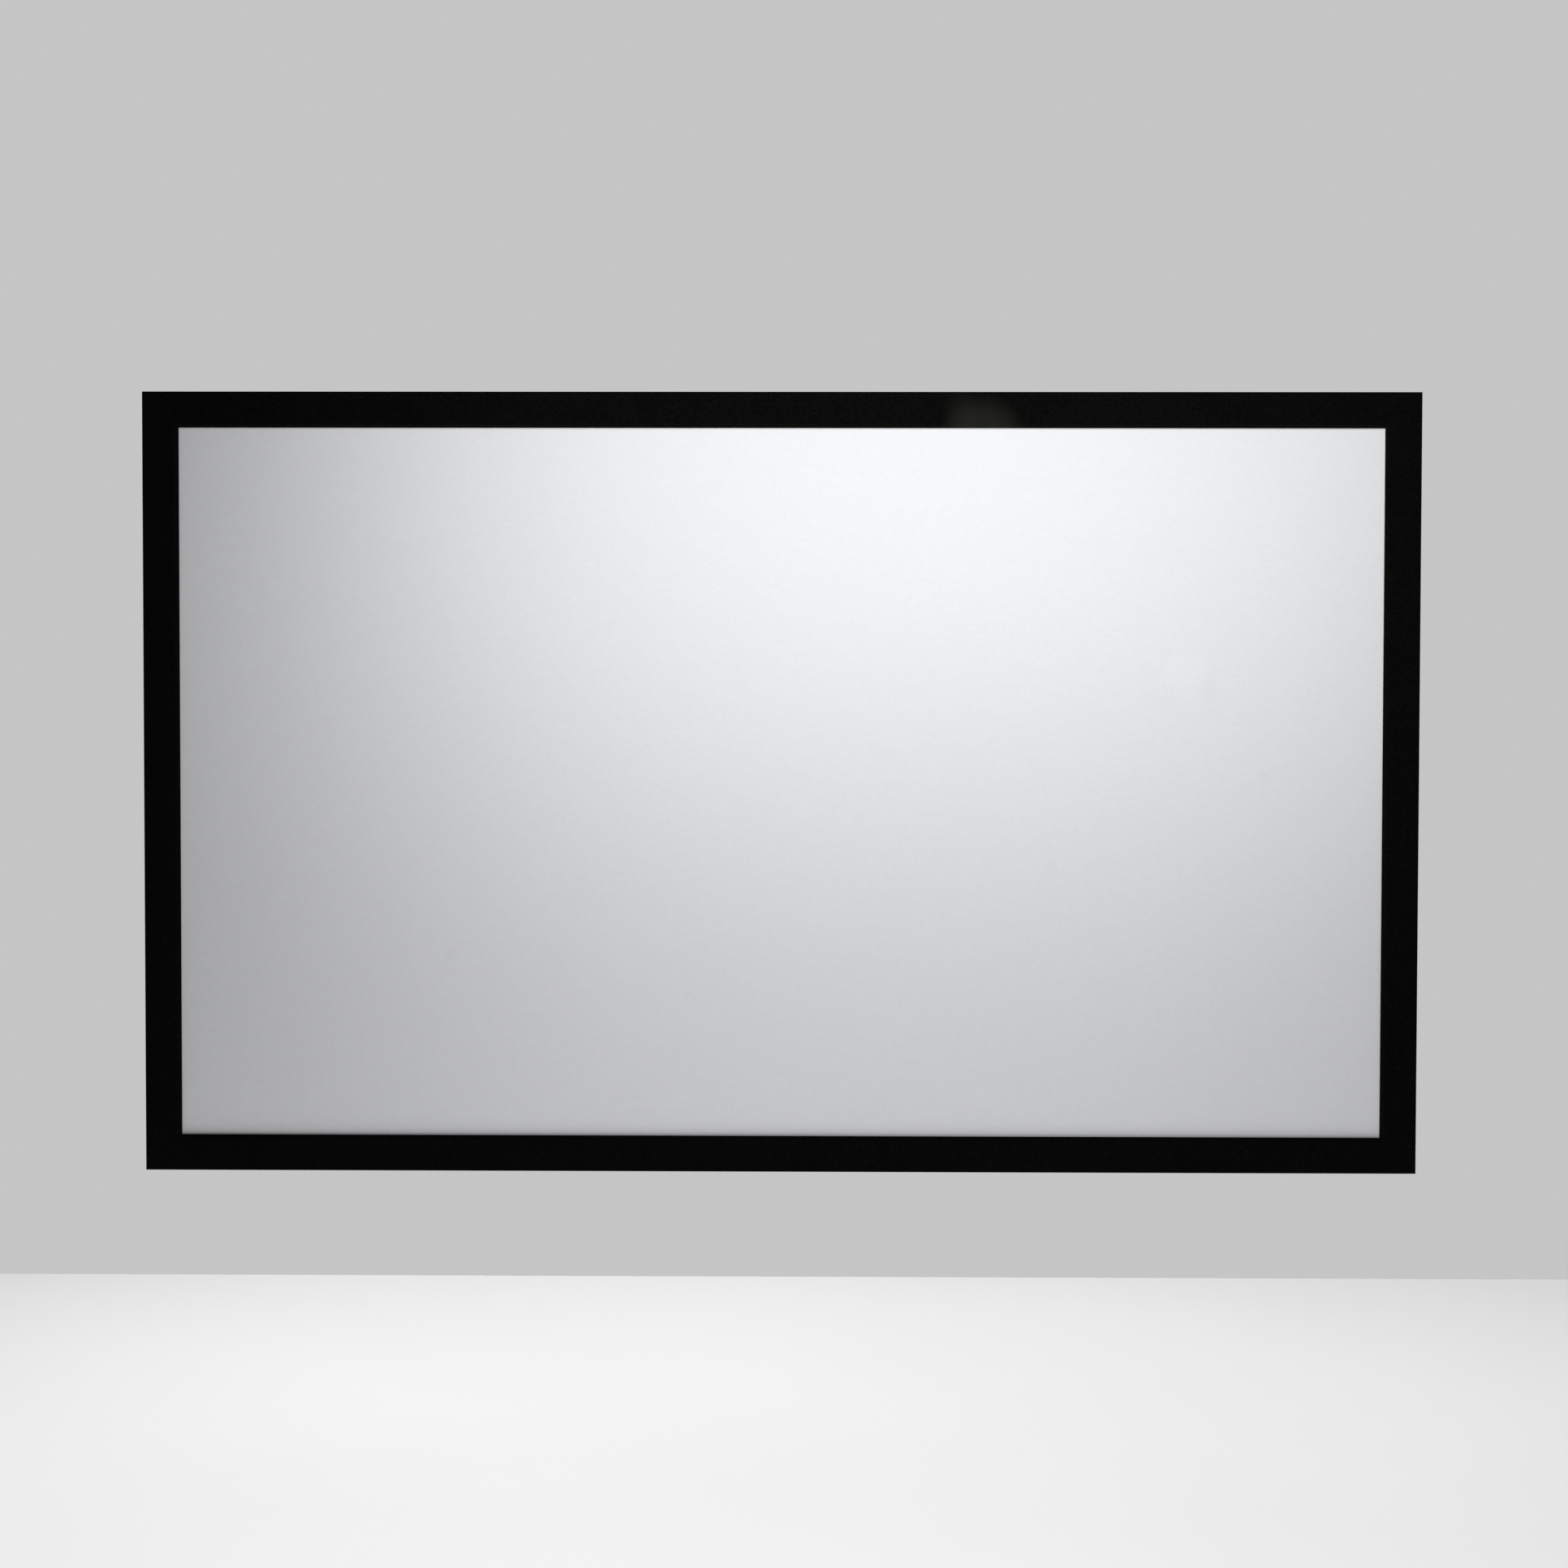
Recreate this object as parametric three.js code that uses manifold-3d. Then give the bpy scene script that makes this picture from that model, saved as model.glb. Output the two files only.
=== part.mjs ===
// A fixed frame projector screen: a white sheet stretched by springs inside an aluminium frame that is
// wrapped in black velvet, with the plates that join the frame and the hooks that hang it on a wall.
//
// Sizes are in millimetres. +Z is up, the picture faces -Y, and left and right are the viewer's.
// The wall is the plane y = 0, and the origin is on it, straight behind the middle of the picture.

import * as THREE from "three";
import { mergeVertices } from "three/addons/utils/BufferGeometryUtils.js";
import Module from "manifold-3d";

// Picture and border
const VIEW_WIDTH = 2037;
const VIEW_HEIGHT = 1200;
const BORDER = 60;
const FRAME_DEPTH = 36;

// Fits
const CLEARANCE = 0.3;
const HAIRLINE = 0.3;
const WELD_BITE = 0.1;

// Velvet strip, glued round the front of each rail
const PILE = 0.8;
const TURN_UNDER = 8;
const TURN_BACK = 6;

// Aluminium extrusion
const WALL = 1.6;
const LIP_DEPTH = 9;
const BEVEL = 5.2;
const CORNER_RADIUS = 1.6;
const CHANNEL_WIDTH = 20;
const CHANNEL_ROOM = 1.4;
const SLOT = 8;
const GROOVE = 4.4;
const BEAD = 1.4;

// Screen sheet and the rod sleeves along its edges
const SHEET = 0.4;
const SHEET_OVERLAP = 6;
const SLEEVE_WELD = 10;
const SLEEVE_STOP = 25;
const NOTCH = 10;

// Tension rods and springs
const ROD = 4;
const ROD_OUTSIDE = 3;
const ROD_SHORT = 4;
const WIRE = 1;
const HOOK_BITE = 0.2;
const COIL = 5.6;
const COIL_LEAD = 1.5;
const COIL_TAIL = 2.8;
const SPRING_PITCH = 120;
const SPRING_MARGIN = 40;

// Corner and splice plates with their set screws
const PLATE = 3;
const CORNER_LEG = 110;
const SPLICE = 240;
const SET_SCREW = 5;
const SCREW_FIT = 0.15;
const SCREW_PROUD = 1.3;
const SOCKET = 2.8;
const SOCKET_DEPTH = 2;
const END_MARGIN = 18;

// Centre bar and its end shoes
const BAR_WIDTH = 30;
const BAR_DEPTH = 14;
const BAR_WALL = 1.5;
const SHOE_FLANGE = 6;
const PLUG_LENGTH = 20;

// Wall hooks
const WALL_GAP = 3;
const HOOK_PLATE = 2;
const HOOK_WIDTH = 60;
const HOOK_HEIGHT = 46;
const HOOK_BEND = 1.5;
const HOOK_SPACING = 1000;
const TONGUE_ROOM = 1.2;
const WALL_SLOT_WIDTH = 6;
const WALL_SLOT_LENGTH = 14;
const WALL_SLOT_SPACING = 34;

// Places across a rail's section. "out" runs from the picture's edge to the outside of the border.
const outerFace = BORDER - PILE;
const channelOuter = outerFace - WALL;
const channelInner = channelOuter - CHANNEL_WIDTH;
const slotMiddle = (channelOuter + channelInner) / 2;
const slotOuter = slotMiddle + SLOT / 2;
const slotInner = slotMiddle - SLOT / 2;
const slotLip = (CHANNEL_WIDTH - SLOT) / 2;
const boxInner = channelInner - WALL;
const grooveInner = boxInner - GROOVE;
const beadOuter = grooveInner + BEAD;
const hookLipInner = grooveInner - WALL;

// Places through a rail's section. "back" runs from the front of the velvet towards the wall.
const frontInside = PILE + WALL;
const lipBack = LIP_DEPTH - PILE;
const backFace = FRAME_DEPTH - PILE;
const slotLipFront = backFace - WALL;
const channelFloor = slotLipFront - PLATE - CHANNEL_ROOM;
const wallBack = FRAME_DEPTH + WALL_GAP;

// The sheet lies behind the lip. The rod and the spring line follow from it.
const sheetFront = LIP_DEPTH + CLEARANCE;
const sheetBack = sheetFront + SHEET;
const sleeveRadius = ROD / 2 + CLEARANCE + SHEET;
const rodBack = sheetFront + sleeveRadius;
const sleeveBack = rodBack + sleeveRadius;
const rodOut = SHEET_OVERLAP + ROD_OUTSIDE;
const springBack = rodBack + ROD / 2 + WIRE / 2 - HOOK_BITE;
const hookLipBack = springBack - WIRE / 2 - CLEARANCE;

// Places of the plates in the channel
const plateBack = slotLipFront - CLEARANCE;
const plateInner = channelInner + CLEARANCE;
const plateOuter = channelOuter - CLEARANCE;

const material = (color, roughness, metalness) =>
  new THREE.MeshStandardMaterial({ color, roughness, metalness });
const velvet = material(0x070807, 1, 0);
const aluminium = material(0xb4b7ba, 0.45, 1);
const zincSteel = material(0x9c9fa1, 0.4, 1);
const screwSteel = material(0x55575a, 0.4, 1);
const springSteel = material(0xa9acaf, 0.3, 1);
const projectionWhite = material(0xdfe1e4, 0.8, 0);
const blackPlastic = material(0x16171a, 0.6, 0);
const blackPaint = material(0x1b1c1e, 0.5, 0.3);

const wasm = await Module();
wasm.setup();

// The closed surface of a geometry, as a solid that can be joined and cut.
function solid(geometry) {
  const loose = geometry.index ? geometry.toNonIndexed() : geometry;
  const bare = new THREE.BufferGeometry();
  bare.setAttribute("position", loose.getAttribute("position"));
  const merged = mergeVertices(bare);
  const triVerts = new Uint32Array(merged.index.array);
  const vertProperties = merged.getAttribute("position").array;
  return new wasm.Manifold(new wasm.Mesh({ numProp: 3, vertProperties, triVerts }));
}

// The surface of a solid, as a flat shaded geometry.
function surface(made) {
  const { vertProperties, triVerts } = made.getMesh();
  const geometry = new THREE.BufferGeometry();
  geometry.setAttribute("position", new THREE.BufferAttribute(new Float32Array(vertProperties), 3));
  geometry.setIndex(new THREE.BufferAttribute(new Uint32Array(triVerts), 1));
  const flat = geometry.toNonIndexed();
  flat.computeVertexNormals();
  return flat;
}

const joined = (parts) => parts.reduce((whole, part) => whole.add(part));

function named(name, geometry, finish) {
  const mesh = new THREE.Mesh(geometry, finish);
  mesh.name = name;
  return mesh;
}

const vectors = (points) => points.map(([a, b]) => new THREE.Vector2(a, b));
const outline = (points) => new THREE.Shape(vectors(points));
const rectangle = (a0, b0, a1, b1) => [
  [a0, b0],
  [a1, b0],
  [a1, b1],
  [a0, b1],
];

function prism(shape, depth) {
  return new THREE.ExtrudeGeometry(shape, { depth, bevelEnabled: false });
}

// Points along an arc round a centre, between two angles in degrees.
function arc([a, b], radius, from, to, steps) {
  return Array.from({ length: steps + 1 }, (_, i) => {
    const angle = THREE.MathUtils.degToRad(from + ((to - from) * i) / steps);
    return [a + radius * Math.cos(angle), b + radius * Math.sin(angle)];
  });
}

// A line of points with its corners rounded off.
function rounded(points, radius) {
  const line = vectors(points);
  const corners = line.slice(1, -1).flatMap((corner, i) => {
    const start = corner.clone().add(line[i].clone().sub(corner).setLength(radius));
    const end = corner.clone().add(line[i + 2].clone().sub(corner).setLength(radius));
    return new THREE.QuadraticBezierCurve(start, corner, end).getPoints(3);
  });
  return [line[0], ...corners, line.at(-1)].map((p) => p.toArray());
}

// The outline of a strip of even thickness that is bent along a line of points.
function bentStrip(points, thickness) {
  const line = vectors(points);
  const normals = line.slice(1).map((p, i) => {
    const along = p.clone().sub(line[i]).normalize();
    return new THREE.Vector2(-along.y, along.x);
  });
  const offset = (side) =>
    line.map((p, i) => {
      const before = normals[Math.max(i - 1, 0)];
      const after = normals[Math.min(i, normals.length - 1)];
      const middle = before.clone().add(after).normalize();
      const reach = (side * thickness) / 2 / middle.dot(after);
      return p.clone().addScaledVector(middle, reach);
    });
  return new THREE.Shape([...offset(1), ...offset(-1).reverse()]);
}

// A length of a section whose ends may slope: each end's place depends on "out".
function lengthOf(section, startAt, endAt) {
  const bar = prism(section, 1);
  const place = bar.getAttribute("position");
  for (let i = 0; i < place.count; i++) {
    const out = place.getX(i);
    place.setZ(i, place.getZ(i) < 0.5 ? startAt(out) : endAt(out));
  }
  bar.computeVertexNormals();
  return bar;
}

// The extrusion: a flat lip in front, a box along the outside with a slotted channel in its back,
// and a low lip with a bead, which the springs hook on.
function railSection() {
  const cornerCentre = [BORDER - CORNER_RADIUS, CORNER_RADIUS];
  return outline([
    [PILE, lipBack],
    [PILE, PILE + BEVEL],
    [PILE + BEVEL, PILE],
    ...arc(cornerCentre, CORNER_RADIUS - PILE, -90, 0, 3),
    [outerFace, backFace],
    [slotOuter, backFace],
    [slotOuter, slotLipFront],
    [channelOuter, slotLipFront],
    [channelOuter, channelFloor],
    [channelInner, channelFloor],
    [channelInner, slotLipFront],
    [slotInner, slotLipFront],
    [slotInner, backFace],
    [boxInner, backFace],
    [boxInner, lipBack],
    [grooveInner, lipBack],
    [grooveInner, hookLipBack - BEAD],
    [beadOuter, hookLipBack - BEAD],
    [beadOuter, hookLipBack],
    [hookLipInner, hookLipBack],
    [hookLipInner, lipBack],
  ]);
}

// The two hollows that run through the extrusion: one in the lip and one in the box.
function railHollows() {
  const bevelSum = 2 * PILE + BEVEL + WALL * Math.SQRT2;
  const lipInside = lipBack - WALL;
  const lipHollow = [
    [bevelSum - frontInside, frontInside],
    [boxInner, frontInside],
    [boxInner, lipInside],
    [bevelSum - lipInside, lipInside],
  ];
  const boxHollow = rectangle(channelInner, frontInside, channelOuter, channelFloor - WALL);
  return [outline(lipHollow), outline(boxHollow)];
}

// The velvet strip: from behind the lip, round the bevel, the front and the outside, to the back.
function velvetSection() {
  const cornerCentre = [BORDER - CORNER_RADIUS, CORNER_RADIUS];
  const bevelSum = 2 * PILE + BEVEL - PILE * Math.SQRT2;
  return outline([
    [TURN_UNDER, LIP_DEPTH],
    ...arc([PILE, lipBack], PILE, 90, 180, 2),
    [0, bevelSum],
    [bevelSum, 0],
    ...arc(cornerCentre, CORNER_RADIUS, -90, 0, 3),
    ...arc([outerFace, backFace], PILE, 0, 90, 2),
    [BORDER - TURN_BACK, FRAME_DEPTH],
    [BORDER - TURN_BACK, backFace],
    [outerFace, backFace],
    ...arc(cornerCentre, CORNER_RADIUS - PILE, 0, -90, 3),
    [PILE + BEVEL, PILE],
    [PILE, PILE + BEVEL],
    [PILE, lipBack],
    [TURN_UNDER, lipBack],
  ]);
}

// The four sides of the frame. Each is modelled in one frame, +X outwards, +Y to the wall and +Z along
// the side, and turned about Y. "edge" is from the middle of the picture to its edge on that side, and
// "half" is half the edge's length.
const SIDES = {
  right: { turn: 0, edge: VIEW_WIDTH / 2, half: VIEW_HEIGHT / 2 },
  bottom: { turn: 90, edge: VIEW_HEIGHT / 2, half: VIEW_WIDTH / 2 },
  left: { turn: 180, edge: VIEW_WIDTH / 2, half: VIEW_HEIGHT / 2 },
  top: { turn: 270, edge: VIEW_HEIGHT / 2, half: VIEW_WIDTH / 2 },
};

// The lengths that a side is made in. A stile is one piece, and a rail is two halves: the ends that are
// not mitred meet in the middle. +Z runs to the right along the bottom and to the left along the top.
const LENGTHS = [
  { side: "top", name: "top_left", from: 0, to: 1 },
  { side: "top", name: "top_right", from: -1, to: 0 },
  { side: "bottom", name: "bottom_left", from: -1, to: 0 },
  { side: "bottom", name: "bottom_right", from: 0, to: 1 },
  { side: "left", name: "left", from: -1, to: 1 },
  { side: "right", name: "right", from: -1, to: 1 },
];

// Where an end of a length is: at a mitre it follows "out", and in the middle of a rail it is square.
function endPlace(half, end, isStart) {
  if (end === 0) {
    const backOff = HAIRLINE / 2;
    return () => (isStart ? backOff : -backOff);
  }
  return (out) => end * (half + out - HAIRLINE / Math.SQRT2);
}

function railLength(half, ends) {
  const bar = solid(lengthOf(railSection(), ...ends));
  const through = 2 * (half + BORDER);
  const hollows = railHollows().map((hollow) => prism(hollow, through).translate(0, 0, -through / 2));
  return surface(bar.subtract(joined(hollows.map(solid))));
}

// Where the springs of one length stand, evenly spaced from the middle of the side.
function springPlaces(half, from, to) {
  const run = half - SPRING_MARGIN;
  const count = Math.round(run / SPRING_PITCH);
  const oneWay = Array.from({ length: count }, (_, i) => ((i + 0.5) * run) / count);
  return [...(from < 0 ? oneWay.map((s) => -s) : []), ...(to > 0 ? oneWay : [])];
}

// A tension spring: a hook round the rod, the closed coil and a hook over the bead of the frame's lip.
function springSolid() {
  const hookOut = beadOuter + CLEARANCE + WIRE / 2;
  const hookTip = grooveInner + CLEARANCE + WIRE / 2;
  const hookLow = lipBack + CLEARANCE + WIRE;
  const wire = bentStrip(
    [
      ...arc([rodOut, rodBack], springBack - rodBack, 205, 90, 3),
      [hookOut - WIRE / 2, springBack],
      [hookOut, springBack - WIRE / 2],
      [hookOut, hookLow + WIRE / 2],
      [hookTip, hookLow],
    ],
    WIRE,
  );
  const hooks = prism(wire, WIRE).translate(0, 0, -WIRE / 2);
  const coilStart = rodOut + sleeveRadius + COIL_LEAD;
  const coilEnd = hookLipInner - COIL_TAIL;
  const coil = new THREE.CylinderGeometry(COIL / 2, COIL / 2, coilEnd - coilStart, 8);
  coil.rotateZ(Math.PI / 2).translate((coilStart + coilEnd) / 2, springBack, 0);
  return solid(hooks).add(solid(coil));
}

// A glass fibre rod with the springs that hang on it.
function sprungRod(half, from, to) {
  const reach = half - SLEEVE_STOP - ROD_SHORT;
  const start = from === 0 ? HAIRLINE / 2 : from * reach;
  const end = to === 0 ? -HAIRLINE / 2 : to * reach;
  const round = outline(arc([rodOut, rodBack], ROD / 2, 0, 315, 7));
  const rod = solid(prism(round, end - start).translate(0, 0, start));
  const spring = springSolid();
  const springs = springPlaces(half, from, to).map((s) => spring.translate([0, 0, s]));
  return surface(joined([rod, ...springs]));
}

// One side's edge of the sheet, folded back round the rod and welded down, notched at each spring.
function sleeveSolid(half) {
  const middle = sleeveRadius - SHEET / 2;
  const weldBack = sheetBack + SHEET / 2 - WELD_BITE;
  const fold = bentStrip(
    [
      [SHEET_OVERLAP - WELD_BITE, sheetFront + SHEET / 2],
      ...arc([rodOut, rodBack], middle, -90, 135, 6),
      [SHEET_OVERLAP - 1, weldBack],
      [SHEET_OVERLAP - 1 - SLEEVE_WELD, weldBack],
    ],
    SHEET,
  );
  const length = 2 * (half - SLEEVE_STOP);
  const sleeve = solid(prism(fold, length).translate(0, 0, -length / 2));
  const notchInner = rodOut - ROD / 2 - WIRE - 2 * CLEARANCE;
  const notchOuter = rodOut + 2 * sleeveRadius;
  const notchFront = sheetBack + WELD_BITE;
  const opening = outline(rectangle(notchInner, notchFront, notchOuter, sleeveBack + SHEET));
  const notch = solid(prism(opening, NOTCH).translate(0, 0, -NOTCH / 2));
  const places = springPlaces(half, -1, 1);
  return sleeve.subtract(joined(places.map((s) => notch.translate([0, 0, s]))));
}

// The projection sheet, one piece: the flat sheet and its four sleeves.
function screenSheet() {
  const wide = VIEW_WIDTH + 2 * SHEET_OVERLAP;
  const high = VIEW_HEIGHT + 2 * SHEET_OVERLAP;
  const flat = new THREE.BoxGeometry(wide, SHEET, high).translate(0, sheetFront + SHEET / 2, 0);
  const sleeves = Object.values(SIDES).map(({ turn, edge, half }) =>
    sleeveSolid(half).translate([edge, 0, 0]).rotate([0, turn, 0]),
  );
  return surface(joined([solid(flat), ...sleeves]));
}

// A flat plate in the plane of the picture, with round holes at some places.
function drilledPlate(points, places) {
  const plate = outline(points);
  const holeRadius = SET_SCREW / 2 + SCREW_FIT;
  places.forEach((place) => plate.holes.push(outline(arc(place, holeRadius, 0, 315, 7))));
  return prism(plate, PLATE);
}

// A set screw, from the floor of the channel to just proud of its plate, with a hexagon socket.
function setScrew() {
  const length = plateBack + SCREW_PROUD - channelFloor - CLEARANCE;
  const body = prism(outline(arc([0, 0], SET_SCREW / 2, 0, 315, 7)), length);
  const hexagon = outline(arc([0, 0], SOCKET / 2, 0, 300, 5));
  const socket = prism(hexagon, 2 * SOCKET_DEPTH).translate(0, 0, -SOCKET_DEPTH);
  return surface(solid(body).subtract(solid(socket)));
}

// Things that lie in the plane of the picture are drawn as (x, z), and their thickness runs forwards
// from the plane that is "back" behind the front of the frame.
function layFlat(mesh, back) {
  mesh.rotation.x = Math.PI / 2;
  mesh.position.y = back;
  return mesh;
}

function cornerJoint(name, sideX, sideZ, screw) {
  const joint = new THREE.Group();
  const outerX = VIEW_WIDTH / 2 + plateOuter;
  const outerZ = VIEW_HEIGHT / 2 + plateOuter;
  const innerX = VIEW_WIDTH / 2 + plateInner;
  const innerZ = VIEW_HEIGHT / 2 + plateInner;
  const signed = ([x, z]) => [sideX * x, sideZ * z];
  const ell = [
    [outerX, outerZ],
    [outerX - CORNER_LEG, outerZ],
    [outerX - CORNER_LEG, innerZ],
    [innerX, innerZ],
    [innerX, outerZ - CORNER_LEG],
    [outerX, outerZ - CORNER_LEG],
  ].map(signed);
  const lineX = VIEW_WIDTH / 2 + slotMiddle;
  const lineZ = VIEW_HEIGHT / 2 + slotMiddle;
  const nearCorner = plateOuter - plateInner + END_MARGIN;
  const farEnd = CORNER_LEG - END_MARGIN;
  const places = [
    [outerX - farEnd, lineZ],
    [outerX - nearCorner, lineZ],
    [lineX, outerZ - nearCorner],
    [lineX, outerZ - farEnd],
  ].map(signed);
  const plate = named(`corner_plate_${name}`, drilledPlate(ell, places), zincSteel);
  joint.add(layFlat(plate, plateBack));
  places.forEach(([x, z], i) => {
    const mesh = named(`corner_screw_${name}_${i + 1}`, screw, screwSteel);
    layFlat(mesh, plateBack + SCREW_PROUD);
    mesh.position.x = x;
    mesh.position.z = z;
    joint.add(mesh);
  });
  return joint;
}

function spliceJoint(name, sideZ, screw) {
  const joint = new THREE.Group();
  const z0 = sideZ * (VIEW_HEIGHT / 2 + plateInner);
  const z1 = sideZ * (VIEW_HEIGHT / 2 + plateOuter);
  const bar = rectangle(-SPLICE / 2, z0, SPLICE / 2, z1);
  const far = SPLICE / 2 - END_MARGIN;
  const near = 2 * END_MARGIN;
  const line = sideZ * (VIEW_HEIGHT / 2 + slotMiddle);
  const places = [-far, -near, near, far].map((x) => [x, line]);
  const plate = named(`splice_plate_${name}`, drilledPlate(bar, places), zincSteel);
  joint.add(layFlat(plate, plateBack));
  places.forEach(([x, z], i) => {
    const mesh = named(`splice_screw_${name}_${i + 1}`, screw, screwSteel);
    layFlat(mesh, plateBack + SCREW_PROUD);
    mesh.position.x = x;
    mesh.position.z = z;
    joint.add(mesh);
  });
  return joint;
}

// The bar stands between the two rails, in the middle of the room behind the sheet, and keeps the
// springs from bowing them in.
const barMiddle = (sleeveBack + FRAME_DEPTH) / 2;
const shoeOuter = boxInner - CLEARANCE;
const shoeInner = shoeOuter - SHOE_FLANGE;

function centreBar() {
  const tube = outline(rectangle(-BAR_WIDTH / 2, -BAR_DEPTH / 2, BAR_WIDTH / 2, BAR_DEPTH / 2));
  const insideWidth = BAR_WIDTH / 2 - BAR_WALL;
  const insideDepth = BAR_DEPTH / 2 - BAR_WALL;
  tube.holes.push(outline(rectangle(-insideWidth, -insideDepth, insideWidth, insideDepth)));
  const length = VIEW_HEIGHT + 2 * (shoeInner - CLEARANCE);
  const bar = named("centre_bar", prism(tube, length).translate(0, 0, -length / 2), aluminium);
  bar.position.y = barMiddle;
  return bar;
}

// A moulded shoe: a plug in the end of the bar, a flange, and a foot that stands in the hook groove.
function barShoe() {
  const flangeBack = barMiddle + BAR_DEPTH / 2;
  const flangeFront = hookLipBack + CLEARANCE;
  const footInner = beadOuter + CLEARANCE;
  const flange = outline([
    [shoeOuter, lipBack + CLEARANCE],
    [shoeOuter, flangeBack],
    [shoeInner, flangeBack],
    [shoeInner, flangeFront],
    [footInner, flangeFront],
    [footInner, lipBack + CLEARANCE],
  ]);
  const plugDeep = BAR_DEPTH / 2 - BAR_WALL - CLEARANCE;
  const plugWide = BAR_WIDTH - 2 * (BAR_WALL + CLEARANCE);
  const plug = outline(
    rectangle(shoeInner - PLUG_LENGTH, barMiddle - plugDeep, shoeInner + 1, barMiddle + plugDeep),
  );
  const block = solid(prism(flange, BAR_WIDTH).translate(0, 0, -BAR_WIDTH / 2));
  return surface(block.add(solid(prism(plug, plugWide).translate(0, 0, -plugWide / 2))));
}

// A wall hook in a side's frame: a plate on the wall, a step through the slot of the rail and a tongue
// behind the slot's lip. The step is just clear of the slot edge it stands under.
function wallHook({ slotEdge, tongueWay, plateWay }) {
  const step = slotEdge - tongueWay * (CLEARANCE + HOOK_PLATE / 2);
  const tongueTip = slotEdge + tongueWay * (slotLip - TONGUE_ROOM);
  const plateMiddle = wallBack - HOOK_PLATE / 2;
  const tongueMiddle = plateBack - HOOK_PLATE / 2;
  const plateEnd = step + plateWay * HOOK_HEIGHT;
  const bends = rounded(
    [
      [plateEnd, plateMiddle],
      [step, plateMiddle],
      [step, tongueMiddle],
      [tongueTip, tongueMiddle],
    ],
    HOOK_BEND,
  );
  const hook = solid(prism(bentStrip(bends, HOOK_PLATE), HOOK_WIDTH).translate(0, 0, -HOOK_WIDTH / 2));
  const reach = (WALL_SLOT_LENGTH - WALL_SLOT_WIDTH) / 2;
  const capsule = outline([
    ...arc([reach, 0], WALL_SLOT_WIDTH / 2, -90, 90, 6),
    ...arc([-reach, 0], WALL_SLOT_WIDTH / 2, 90, 270, 6),
  ]);
  const cutter = solid(prism(capsule, 3 * HOOK_PLATE).rotateX(Math.PI / 2));
  const across = (step + plateEnd) / 2;
  const cuts = [-1, 1].map((way) =>
    cutter.translate([across, wallBack + HOOK_PLATE, (way * WALL_SLOT_SPACING) / 2]),
  );
  return surface(hook.subtract(joined(cuts)));
}

// One side of the frame: its rails with their velvet, and the sprung rods.
function frameSide(side) {
  const { turn, edge, half } = SIDES[side];
  const group = new THREE.Group();
  group.rotation.y = THREE.MathUtils.degToRad(turn);
  LENGTHS.filter((length) => length.side === side).forEach(({ name, from, to }) => {
    const ends = [endPlace(half, from, true), endPlace(half, to, false)];
    const meshes = [
      named(`${name}_rail`, railLength(half, ends), aluminium),
      named(`${name}_velvet`, lengthOf(velvetSection(), ...ends), velvet),
      named(`${name}_sprung_rod`, sprungRod(half, from, to), springSteel),
    ];
    meshes.forEach((mesh) => {
      mesh.position.x = edge;
      group.add(mesh);
    });
  });
  return group;
}

// Two wall hooks on the top rail or the bottom one, at even distances from the middle.
function wallHooks(side, shape) {
  const { turn, edge } = SIDES[side];
  const group = new THREE.Group();
  group.rotation.y = THREE.MathUtils.degToRad(turn);
  const geometry = wallHook(shape);
  ["left", "right"].forEach((place) => {
    const mesh = named(`${side}_${place}_wall_hook`, geometry, blackPaint);
    const towardsRight = turn === 90 ? 1 : -1;
    const way = place === "right" ? towardsRight : -towardsRight;
    mesh.position.set(edge, 0, (way * HOOK_SPACING) / 2);
    group.add(mesh);
  });
  return group;
}

const part = new THREE.Group();
part.position.y = -wallBack;
Object.keys(SIDES).forEach((side) => part.add(frameSide(side)));
part.add(named("screen_sheet", screenSheet(), projectionWhite));

const screw = setScrew();
part.add(cornerJoint("top_left", -1, 1, screw));
part.add(cornerJoint("top_right", 1, 1, screw));
part.add(cornerJoint("bottom_left", -1, -1, screw));
part.add(cornerJoint("bottom_right", 1, -1, screw));
part.add(spliceJoint("top", 1, screw));
part.add(spliceJoint("bottom", -1, screw));

part.add(centreBar());
["top", "bottom"].forEach((side) => {
  const { turn, edge } = SIDES[side];
  const shoes = new THREE.Group();
  shoes.rotation.y = THREE.MathUtils.degToRad(turn);
  const shoe = named(`${side}_bar_shoe`, barShoe(), blackPlastic);
  shoe.position.x = edge;
  part.add(shoes.add(shoe));
});

part.add(wallHooks("top", { slotEdge: slotOuter, tongueWay: 1, plateWay: -1 }));
part.add(wallHooks("bottom", { slotEdge: slotInner, tongueWay: -1, plateWay: -1 }));

export default part;
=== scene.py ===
# %% [markdown]
# # A fixed frame projector screen
# The real thing is a white film, held flat by springs inside an aluminium frame that is wrapped in black
# velvet and hung on a wall. From the front only the velvet and the film show. From behind you see how it
# works: rods in the film's hems, springs from the rods to the frame, plates that join the frame's lengths,
# a bar across the middle and the hooks on the wall. The solids of all these pieces come in as a fixed
# frame, and each cell below gives one piece or one finish its looks. Everything is in metres, +Z is up,
# the picture faces -Y, and left and right are the viewer's.

# %% Load the frame
import math

import bmesh
import bpy
from mathutils import Matrix, Vector


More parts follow.
